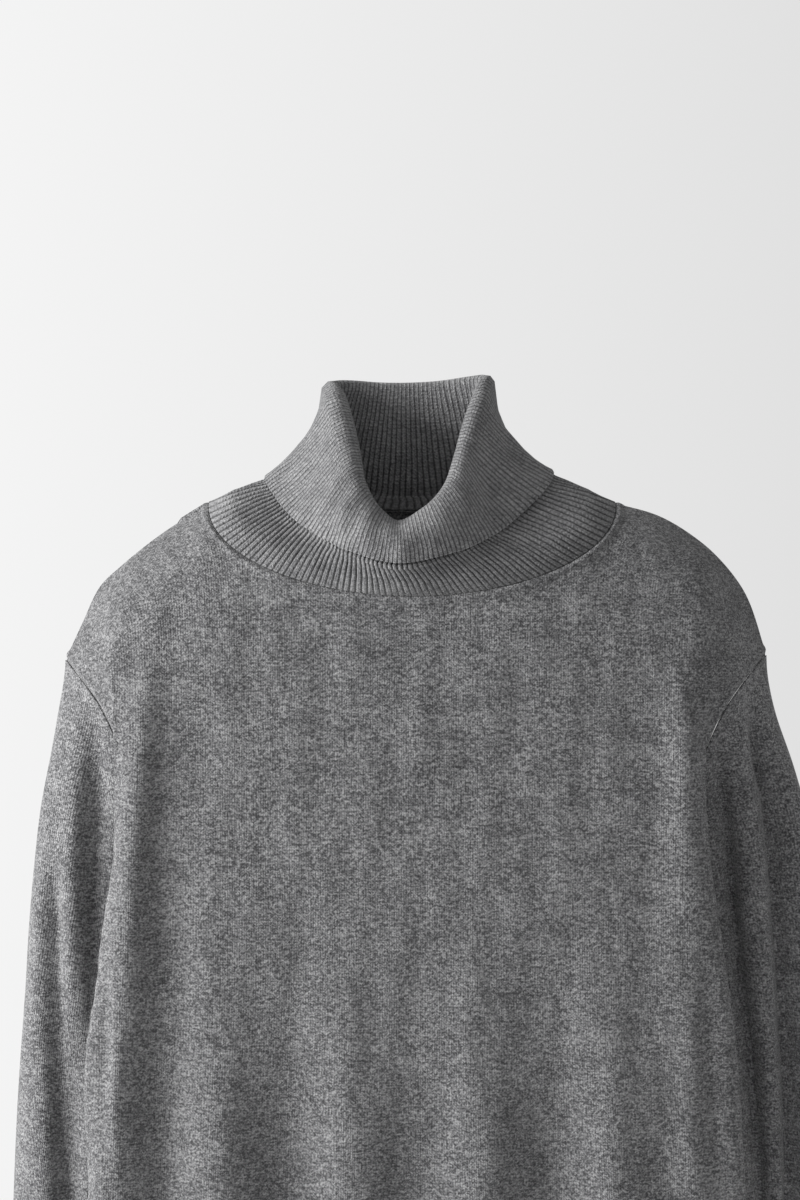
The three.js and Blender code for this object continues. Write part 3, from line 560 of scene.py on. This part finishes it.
def makePanel(face):
    points, normals = panels[face].copy(), panelsNormals[face]
    stitches = panelStitches(points)
    columnPlace = np.concatenate([-half[::-1][:-1], half])[None, :]
    row = rowPlaces[:, None]
    x, z = points[..., 0], points[..., 2]
    fade = fadeAt(1 - np.abs(columnPlace), 0.12) * fadeAt(row, 0.1) * fadeAt(2 - row, 0.12)
    crease = 0
    for centre, lean, height, width, start, full in body["frontCreases"] if face == "front" else ():
        middle = centre + lean * (underarmZ - z) / 100
        grown = smooth((start - z) / (start - full))
        crease = crease + height * grown * np.exp(-((x - middle) / width) ** 2)
    deeper = body["deeperLow"] * drapeLift(face, x, z) * smooth((-330 - z) / 130) * (np.abs(x) < 140)
    lowFade = fadeAt(2 - row, 0.16)
    uneven = ripple(11 if face == "front" else 12, 46, x * 1.5, z * 0.55)
    fine = ripple(21 if face == "front" else 22, 17, x * 1.3, z * 0.8)
    lift = body["unevenness"] * (uneven + 0.35 * fine) * fade + (crease + deeper) * lowFade
    # the linked neck seam rolls up a soft ridge, and the armhole seams sink a little
    fromNeck = np.cumsum(np.linalg.norm(np.diff(points, axis=0, prepend=points[:1]), axis=-1), axis=0)
    neckShare = fadeAt(neckStop + 0.03 - np.abs(columnPlace), 0.03)
    lift += body["neckRidge"] * np.exp(-((fromNeck - 3.2) / 2.6) ** 2) * neckShare
    steps = np.linalg.norm(np.diff(points, axis=1), axis=-1)
    fromLeft = np.concatenate([np.zeros((len(points), 1)), np.cumsum(steps, axis=1)], axis=1)
    fromSide = np.minimum(fromLeft, fromLeft[:, -1:] - fromLeft)
    inYoke = fadeAt(1.02 - row, 0.04)
    besideSeam = np.exp(-((fromSide - 4) / 2.2) ** 2) * 0.8
    lift += body["seamDip"] * (besideSeam - np.exp(-(fromSide / 2) ** 2)) * inYoke
    points += normals * lift[..., None]
    # a gap of a fraction of a millimetre at the seams
    points[:, 0] += unit(points[:, 1] - points[:, 0]) * seamHalfGap
    points[:, -1] += unit(points[:, -2] - points[:, -1]) * seamHalfGap
    points[0] += unit(points[1] - points[0]) * seamHalfGap
    points[-1] += unit(points[-2] - points[-1]) * seamHalfGap
    wall = knitWall * mix(seamThinning, 1, fadeAt(1 - np.abs(columnPlace), 0.03)) + 0 * row
    inner = points - normals * wall[..., None]
    grid, faces = wallOf(points, inner, innerStep)
    kept = stitches[::innerStep, ::innerStep]
    uv = np.concatenate([stitches.reshape(-1, 2), kept.reshape(-1, 2)])
    return makePiece("sweater_" + face, grid, faces, uv, jersey)


front = makePanel("front")
finishPiece(front, "front")
back = makePanel("back")
finishPiece(back, "back")
print("body made")


# the welts
welt = {"frontRibs": 104, "backRibs": 86, "pointsPerRib": 5, "rows": 12, "ribHeight": 0.9}


def weltSection(face, sign, columnPlaces, z):
    z = np.asarray(z, float)
    nearOut, lip, tuck, seam = sideGuides(face, sign, z)
    inside = columnPlaces[columnPlaces <= nearStop]
    side = columnPlaces[columnPlaces > nearStop]
    out = nearOut[:, None] * (inside / nearStop)
    level = z[:, None] + 0 * out
    flat = np.stack([sign * out, faceY(face, sign * out, level), level], axis=-1)
    near = np.stack([sign * nearOut, faceY(face, sign * nearOut, z), z], axis=-1)
    before = nearOut - 5
    slope = np.stack([sign * 5 + 0 * z, near[:, 1] - faceY(face, sign * before, z), 0 * z], axis=-1)
    slope = slope * (nearOut / nearStop / 5)[:, None]
    curved = throughStops([near, lip, tuck, seam], [nearStop, lipStop, tuckStop, 1], slope, side)
    return np.concatenate([flat, curved], axis=1)


def weltPoints(face, columnPlaces, levels):
    left = weltSection(face, -1, -columnPlaces[columnPlaces < 0][::-1], levels)[:, ::-1]
    right = weltSection(face, 1, columnPlaces[columnPlaces >= 0], levels)
    return np.concatenate([left, right], axis=1)


def makeWelt(face):
    count = welt[face + "Ribs"]
    sample = np.linspace(-1, 1, 1601)
    line = weltPoints(face, sample, [weltTop - 25])[0]
    length = np.concatenate([[0], np.cumsum(np.linalg.norm(np.diff(line, axis=0), axis=1))])
    places = np.linspace(0, length[-1], count * welt["pointsPerRib"] + 1)
    columnsPlaced = np.interp(places, length, sample)
    levels = np.linspace(weltTop, weltBottom, welt["rows"] + 1)
    levels[0] -= seamHalfGap
    points = weltPoints(face, columnsPlaced, levels)
    normals = normalsOf(points)
    outwards = -1 if face == "front" else 1
    if np.sign(normals[6, normals.shape[1] // 2, 1]) != outwards:
        normals = -normals
    phase = np.linspace(0, count, count * welt["pointsPerRib"] + 1)
    relief = welt["ribHeight"] * np.abs(np.sin(math.pi * phase)) ** 0.7 - 0.4
    relief = relief[None, :] * fadeAt(np.arange(len(levels)), 2)[:, None]
    outer = points + normals * relief[..., None]
    outer[:, 0] += unit(outer[:, 1] - outer[:, 0]) * seamHalfGap
    outer[:, -1] += unit(outer[:, -2] - outer[:, -1]) * seamHalfGap
    edgeFade = fadeAt(np.minimum(phase, count - phase), 2)
    wall = ribWall * mix(seamThinning, 1, edgeFade)
    inner = outer - normals * (wall + 0 * relief)[..., None]
    inner[1:-1] = (points - normals * wall[None, :, None])[1:-1]
    grid, faces = wallOf(outer, inner, 1)
    courses = -levels[:, None] / courseHeight
    stitches = np.stack(np.broadcast_arrays(phase[None, :], courses), axis=-1).reshape(-1, 2)
    return makePiece("sweater_welt_" + face, grid, faces, np.concatenate([stitches, stitches]), rib)


weltFront = makeWelt("front")
finishPiece(weltFront, "welt_front")
weltBack = makeWelt("back")
finishPiece(weltBack, "welt_back")
print("welts made")


# the sleeves
sleeve = {
    # z, inner, left outer, right outer, front, back
    "sections": [(-105, 168, 217.5, 222.5, -6, 22), (-133, 166, 225, 231, -12, 34),
                 (-161, 165, 229, 239, -13, 39), (-200, 167, 234, 248, -13, 42),
                 (-290, 170, 242, 260, -13, 44), (-371, 178, 247, 265, -13, 43),
                 (-433, 184, 250, 267, -12, 42), (-540, 192, 253, 267, -10, 39),
                 (-585, 195, 254, 266, -8, 37), (-612, 199, 251, 262, -4, 33),
                 (-676, 199, 251, 262, -4, 33)],
    # top, bottom, height, width, from, to
    "leftFolds": [(.25, .215, -8, .04, -110, -330), (.29, .12, 4, .045, -150, -600),
                  (.36, .14, -7, .038, -215, -600), (.6, .7, -6, .07, -150, -600)],
    "rightFolds": [(.19, .235, -13, .028, -130, -600), (.325, .27, -16, .028, -112, -600),
                   (.4, .36, 3, .05, -150, -600), (.6, .72, -7, .07, -150, -600)],
    "easing": 0.22,
    "squareness": 2.4,
    "unevenness": 0.5,
    "wales": 108,
    "turns": 176,
    "rows": 232,
    "cuffRibs": 46,
    "cuffRibPoints": 5,
    "cuffRibHeight": 0.9,
}


def sleeveSection(side, turn, z):
    section = follow(sleeve["sections"], z)
    outerEdge = section[..., 2 if side == "left" else 3]
    innerEdge = section[..., 1]
    angle = 2 * math.pi * turn
    lift = 0
    for top, bottom, height, width, start, end in sleeve[side + "Folds"]:
        down = np.clip((start - z) / (start - end), 0, 1)
        strength = smooth((start - z) / 60) * smooth((z - end) / 90 + 1)
        lift = lift + height * strength * np.exp(-((turn - mix(top, bottom, down)) / width) ** 2)
    lift = lift * mix(1, 0.2, smooth((-575 - z) / 40))

    def rounded(value):
        return np.sign(value) * np.abs(value) ** (2 / sleeve["squareness"])

    frontEdge, backEdge = section[..., 4], section[..., 5]
    out = (innerEdge + outerEdge) / 2 - (outerEdge - innerEdge) / 2 * rounded(np.cos(angle))
    y = (backEdge + frontEdge) / 2 - (backEdge - frontEdge) / 2 * rounded(np.sin(angle))
    sign = -1 if side == "left" else 1
    return np.stack([sign * (out - lift * np.cos(angle)), y - lift * np.sin(angle), z + 0 * angle], axis=-1)


def sleevePoints(side, turns, lengths):
    sign = -1 if side == "left" else 1
    turn = turns[None, :]
    share = np.abs(1 - 2 * turns)
    inFront = (turns < 0.5)[:, None]
    seam = np.where(inFront, armholePoint("front", sign, share), armholePoint("back", sign, share))
    z = mix(seam[None, :, 2], cuffTop, lengths[:, None])
    filled = (1 - (1 - np.clip(lengths / sleeve["easing"], 0, 1)) ** 2)[:, None, None]
    tube = sleeveSection(side, turn + 0 * z, z)
    points = mix(seam[None], tube, filled)
    points[..., 2] = z
    return points


def outwardNormals(points):
    normals = normalsOf(points, closed=True)
    centre = points.mean(axis=1, keepdims=True)
    return normals if np.sum(normals * (points - centre)) > 0 else -normals


def roundStitches(points, wales):
    steps = np.linalg.norm(np.roll(points, -1, axis=1) - points, axis=-1)
    share = np.concatenate([np.zeros((len(points), 1)), np.cumsum(steps, axis=1)[:, :-1]], axis=1)
    share = share / steps.sum(axis=1, keepdims=True)
    return np.stack([share * wales, -points[..., 2] / courseHeight], axis=-1)


def makeSleeve(side):
    turns = np.arange(sleeve["turns"]) / sleeve["turns"]
    lengths = np.linspace(0, 1, sleeve["rows"] + 1) ** 1.12
    points = sleevePoints(side, turns, lengths)
    normals = outwardNormals(points)
    stitches = roundStitches(points, sleeve["wales"])
    fade = (fadeAt(lengths, 0.07) * fadeAt(1 - lengths, 0.06))[:, None]
    x, y, z = np.moveaxis(points, -1, 0)
    uneven = ripple(31 if side == "left" else 32, 40, x * 1.6, y * 1.6, z * 0.5)
    points = points + normals * (sleeve["unevenness"] * uneven * fade)[..., None]
    points[0] += unit(points[1] - points[0]) * seamHalfGap
    points[-1] += unit(points[-2] - points[-1]) * seamHalfGap
    wall = knitWall * mix(seamThinning, 1, fadeAt(lengths, 0.03))[:, None, None]
    grid, faces = wallOf(points, points - normals * wall, innerStep, closed=True)
    kept = stitches[::innerStep, ::innerStep]
    uv = np.concatenate([stitches.reshape(-1, 2), kept.reshape(-1, 2)])
    return makePiece("sweater_sleeve_" + side, grid, faces, uv, jersey, wrap=sleeve["wales"])


def makeCuff(side):
    count = sleeve["cuffRibs"]
    turns = np.arange(count * sleeve["cuffRibPoints"]) / (count * sleeve["cuffRibPoints"])
    levels = np.linspace(cuffTop, cuffBottom, 15)
    levels[0] -= seamHalfGap
    level, turn = np.meshgrid(levels, turns, indexing="ij")
    points = sleeveSection(side, turn, level)
    normals = outwardNormals(points)
    relief = (sleeve["cuffRibHeight"] * np.abs(np.sin(math.pi * turns * count)) ** 0.7 - 0.4)[None, :]
    relief = relief * fadeAt(np.arange(len(levels)), 2)[:, None]
    outer = points + normals * relief[..., None]
    inner = points - normals * ribWall
    grid, faces = wallOf(outer, inner, 1, closed=True)
    wales = np.stack([turn * count, -level / courseHeight], axis=-1)
    uv = np.concatenate([wales.reshape(-1, 2)] * 2)
    return makePiece("sweater_cuff_" + side, grid, faces, uv, rib, wrap=count)


for side in ("left", "right"):
    finishPiece(makeSleeve(side), "sleeve_" + side)
    finishPiece(makeCuff(side), "cuff_" + side)
print("sleeves made")


# the folded collar
collar = {
    # share of the way round from the front, x, y, z, and how round the fold is
    "fold": [(0, -8.7, -38, -24, 5), (.06, -22, -37, -12.3, 6), (.112, -29.5, -34, 2.6, 7),
             (.184, -34, -27, 24.5, 8), (.26, -40, -14, 48, 8), (.312, -45.5, -1, 62, 7),
             (.34, -48.5, 8, 66, 5.5), (.378, -38, 17, 67, 4.5), (.44, -20, 21, 66, 4),
             (.5, -2, 22.5, 66, 4), (.56, 17, 21, 67, 4), (.61, 36, 17, 69.5, 4.5),
             (.642, 45.5, 10, 70, 5), (.672, 43, 1, 66, 5), (.74, 33.5, -14, 43, 5.5),
             (.82, 26, -28, 16.6, 5.5), (.88, 20, -35, -.5, 5.5), (.94, 8, -38, -14.2, 5.2)],
    # the same for the loose edge, without the roundness
    "edge": [(0, -9, -57, -47.5), (.075, -41, -48, -39), (.128, -60.3, -33, -28.7),
             (.172, -74.7, -18, -18), (.233, -88, 1, -1.3), (.27, -91, 11, 7.7), (.352, -68, 25, 5),
             (.425, -36, 31, -2), (.5, -2, 33.5, -5), (.57, 33, 31, -2), (.645, 64, 25, 6),
             (.72, 87, 8, 11), (.765, 83, -8, -.8), (.828, 60.7, -27, -22.4),
             (.877, 43.3, -40, -33.7), (.925, 24, -51, -41.4)],
    "layerGap": 4.6,
    "frontBulge": 7,
    "sideBulge": -4,
    "bandRise": 1.5,
    "ribs": 148,
    "fewerBehind": 0.26,
    "pointsPerRib": 5,
    "ribHeight": 1.15,
    "ribWander": 0.0007,
    "creaseDepth": 1.4,
    "seamRidge": 1.1,
}


def neckSeam(turn):
    t = np.asarray(turn, float) % 1
    halfTurn = np.where(t < 0.5, t, 1 - t)
    way = np.minimum(halfTurn, 0.5 - halfTurn) / 0.25
    column = np.clip(neckStop * (0.78 * way + 0.22 * way ** 4), 0, neckStop - 1e-9)
    sign = np.where(t < 0.5, -1, 1)
    frontOut, frontZ = topEdge("front", 1, column)
    backOut, backZ = topEdge("back", 1, column)
    inFront = halfTurn < 0.25
    out = np.where(inFront, frontOut, backOut)
    z = np.where(inFront, frontZ, backZ)
    y = np.where(inFront, faceY("front", sign * out, z), faceY("back", sign * out, z))
    return np.stack([sign * out, y, z], axis=-1)


def collarMiddle(turn, stretch):
    turn, stretch = np.broadcast_arrays(np.asarray(turn, float), np.asarray(stretch, float))
    foldRow, edge = followRound(collar["fold"], turn), followRound(collar["edge"], turn)
    fold, radius = foldRow[..., :3], foldRow[..., 3:]
    down = unit(edge - fold)
    ahead = followRound(collar["fold"], turn + 0.01)[..., :3] + followRound(collar["edge"], turn + 0.01)
    behind = followRound(collar["fold"], turn - 0.01)[..., :3] + followRound(collar["edge"], turn - 0.01)
    outward = unit(np.cross(ahead - behind, down))
    frontness = np.maximum(0, np.cos(2 * math.pi * turn)) ** 2
    bulge = mix(collar["sideBulge"], collar["frontBulge"], frontness)[..., None]
    centre = fold + down * radius
    foot = edge - outward * collar["layerGap"]
    s = stretch[..., None]
    band = mix(neckSeam(turn), foot, s)
    band[..., 2] += collar["bandRise"] * np.sin(math.pi * stretch)
    stand = mix(foot, centre - outward * radius, (s - 1) / 0.9)
    angle = math.pi * (s - 1.9) / 0.2
    over = centre - outward * radius * np.cos(angle) - down * radius * np.sin(angle)
    share = (s - 2.1) / 0.9
    bowed = outward * bulge * np.sin(math.pi * np.clip(share, 0, 1))
    roll = mix(centre + outward * radius, edge, share) + bowed
    return np.where(s <= 1, band, np.where(s < 1.9, stand, np.where(s <= 2.1, over, roll)))


def collarFrame(turn, stretch):
    e = 0.004
    within = np.clip(stretch, e, 3 - e)
    acrossTurn = collarMiddle(turn + e, within) - collarMiddle(turn - e, within)
    acrossStretch = collarMiddle(turn, within + e) - collarMiddle(turn, within - e)
    return collarMiddle(turn, stretch), unit(np.cross(acrossTurn, acrossStretch)), unit(acrossStretch)


# Where the ribs lie round the collar. Those of its back are a little wider.
def ribPlaces(ribPhase):
    places = np.linspace(0, 1, 2001)
    density = 1 - collar["fewerBehind"] * smooth((places - 0.31) / 0.06) * smooth((0.67 - places) / 0.06)
    share = np.concatenate([[0], np.cumsum((density[1:] + density[:-1]) / 2)])
    return np.interp(ribPhase / collar["ribs"], share / share[-1], places)


def makeCollar():
    # profile: stretch, side of the cloth, how much of the rib shows
    profile = [(s, 1, 1) for s in np.linspace(0, 1.12, 18)]
    profile += [(s, 1, 0) for s in (1.3, 1.5, 1.7, 1.9, 1.95, 2, 2.05, 2.1, 2.3, 2.5, 2.7, 2.85)]
    profile += [(2.95, 1, 0.3), (3, 1, 0.6)]
    profile += [(3, 0.6, 0.8), (3, 0, 1), (3, -0.6, 0.9)]
    profile += [(s, -1, 1) for s in np.linspace(3, 2.1, 34)]
    profile += [(s, -1, 1) for s in np.linspace(2.1, 1.9, 11)[1:]]
    profile += [(s, -1, 1) for s in np.linspace(1.9, 1.08, 16)[1:]]
    profile += [(s, -1, 1) for s in (1.04, 1, 0.94, 0.88, 0.7, 0.4, 0)]
    stretch, side, shown = np.array(profile).T[:, :, None]
    count = collar["ribs"] * collar["pointsPerRib"]
    ribPhase = (np.arange(count) / collar["pointsPerRib"])[None, :] + 0 * stretch
    turn = ribPlaces(ribPhase)
    cosTurn, sinTurn = np.cos(2 * math.pi * turn), np.sin(2 * math.pi * turn)
    wander = ripple(41, 0.5, cosTurn * 1.3, sinTurn * 1.3, stretch * 0.9)
    wander = wander + 0.6 * ripple(42, 0.16, cosTurn * 1.3, sinTurn * 1.3, stretch * 0.9)
    placed = turn + collar["ribWander"] * wander * smooth(stretch * 2)
    middle, normals, along = collarFrame(placed, stretch)
    relief = collar["ribHeight"] * np.abs(np.sin(math.pi * ribPhase)) ** 0.7 - 0.45
    relief = relief * smooth(stretch / 0.22 + 0.05)
    uneven = 1 + 0.25 * ripple(43, 0.25, cosTurn * 2, sinTurn * 2, stretch)
    offset = side * ribWall / 2 + np.where(side >= 0, 1, -1) * relief * uneven * shown
    fromFront = (turn + 0.5) % 1 - 0.5
    crease = np.exp(-((stretch - 2.8 + 3 * fromFront ** 2) / 0.045) ** 2)
    crease = crease * np.exp(-(fromFront / 0.085) ** 2)
    swell = 0.7 * ripple(44, 0.4, cosTurn * 1.5, sinTurn * 1.5, stretch * 0.8)
    move = collar["creaseDepth"] * crease * np.where(stretch > 2.2, 1, 0)
    move = move - collar["seamRidge"] * np.exp(-((stretch - 0.97) / 0.05) ** 2) * (side < 0)
    move = move + swell * smooth((stretch - 2.05) * 3) * smooth((3 - stretch) * 4 + 0.5)
    edgeRound = np.where(stretch >= 3, np.sqrt(np.maximum(0, 1 - side ** 2)), 0) * 0.8
    points = middle + normals * (offset + move)[..., None] + along * edgeRound[..., None]
    points = points + np.where(stretch <= 0, 0.15, 0)[..., None] * along
    rows = np.arange(points.shape[0] * count).reshape(points.shape[:2])
    faces = quadsOf(np.vstack([rows, rows[:1]]), closed=True).tolist()
    steps = np.linalg.norm(np.diff(middle, axis=0), axis=-1).mean(axis=1)
    courses = np.concatenate([[0], np.cumsum(steps)])[:, None] / courseHeight
    wales = (ribPhase + collar["ribs"] / 2) % collar["ribs"]
    stitches = np.stack(np.broadcast_arrays(wales, courses), axis=-1).reshape(-1, 2)
    return makePiece("sweater_collar", points.reshape(-1, 3), faces, stitches, rib, wrap=collar["ribs"])


collarPiece = makeCollar()
finishPiece(collarPiece, "collar")
print("collar made")


# studio
studio = {
    "camera": (-0.0075, -1.771, -0.0706),
    "lens": 85,
    "lookAt": (0, 0, -0.25),
    "keyFrom": (-0.93, -0.25, 0.27),
    "keyDistance": 2.6,
    "keySize": 1.3,
    "keyPower": 122,
    "fill": 0.4,
    "backdropMiddle": 0.828,
    "backdropFall": 0.54,
    "floorZ": -0.72,
}


def makeCamera():
    data = bpy.data.cameras.new("camera")
    data.lens = studio["lens"]
    data.sensor_width = 36
    camera = bpy.data.objects.new("camera", data)
    camera.location = studio["camera"]
    camera.rotation_euler = (math.pi / 2, 0, 0)
    bpy.context.scene.collection.objects.link(camera)
    bpy.context.scene.camera = camera


def makeLight(name, direction, distance, size, power):
    data = bpy.data.lights.new(name, "AREA")
    data.energy = power
    data.size = size
    light = bpy.data.objects.new(name, data)
    towards = Vector(direction).normalized()
    light.location = Vector(studio["lookAt"]) + towards * distance
    light.rotation_euler = towards.to_track_quat("Z", "Y").to_euler()
    bpy.context.scene.collection.objects.link(light)


def makeWorld():
    world = bpy.data.worlds.new("studio")
    bpy.context.scene.world = world
    world.use_nodes = True
    tree = world.node_tree
    tree.nodes.clear()
    seen = makeNode(tree, "ShaderNodeLightPath", output="Is Camera Ray")
    white = (1, 1, 1, 1)
    ambient = makeNode(tree, "ShaderNodeBackground", {}, {"Color": white, "Strength": studio["fill"]})
    # a pale backdrop with painted shade that falls off to the right, away from the key light
    direction = makeNode(tree, "ShaderNodeTexCoord", output="Generated")
    sideways = makeNode(tree, "ShaderNodeSeparateXYZ", {}, (direction,), output="X")
    brightness = studio["backdropMiddle"] - sideways * studio["backdropFall"]
    backdrop = makeNode(tree, "ShaderNodeBackground", {}, {"Color": white, "Strength": brightness})
    both = makeNode(tree, "ShaderNodeMixShader", {}, (seen, ambient, backdrop))
    makeNode(tree, "ShaderNodeOutputWorld", {}, {"Surface": both})


def makeFloor():
    material = bpy.data.materials.new("floor")
    material.use_nodes = True
    shader = material.node_tree.nodes["Principled BSDF"]
    shader.inputs["Base Color"].default_value = (0.8, 0.8, 0.8, 1)
    shader.inputs["Roughness"].default_value = 0.9
    z, r = studio["floorZ"], 1.15
    mesh = bpy.data.meshes.new("floor")
    mesh.from_pydata([(-r, -r, z), (r, -r, z), (r, r, z), (-r, r, z)], [], [(0, 1, 2, 3)])
    mesh.materials.append(material)
    floor = bpy.data.objects.new("floor", mesh)
    bpy.context.scene.collection.objects.link(floor)


bpy.context.scene.view_settings.view_transform = "Standard"
makeCamera()
makeLight("key", studio["keyFrom"], studio["keyDistance"], studio["keySize"], studio["keyPower"])
makeWorld()
makeFloor()
print("studio made")
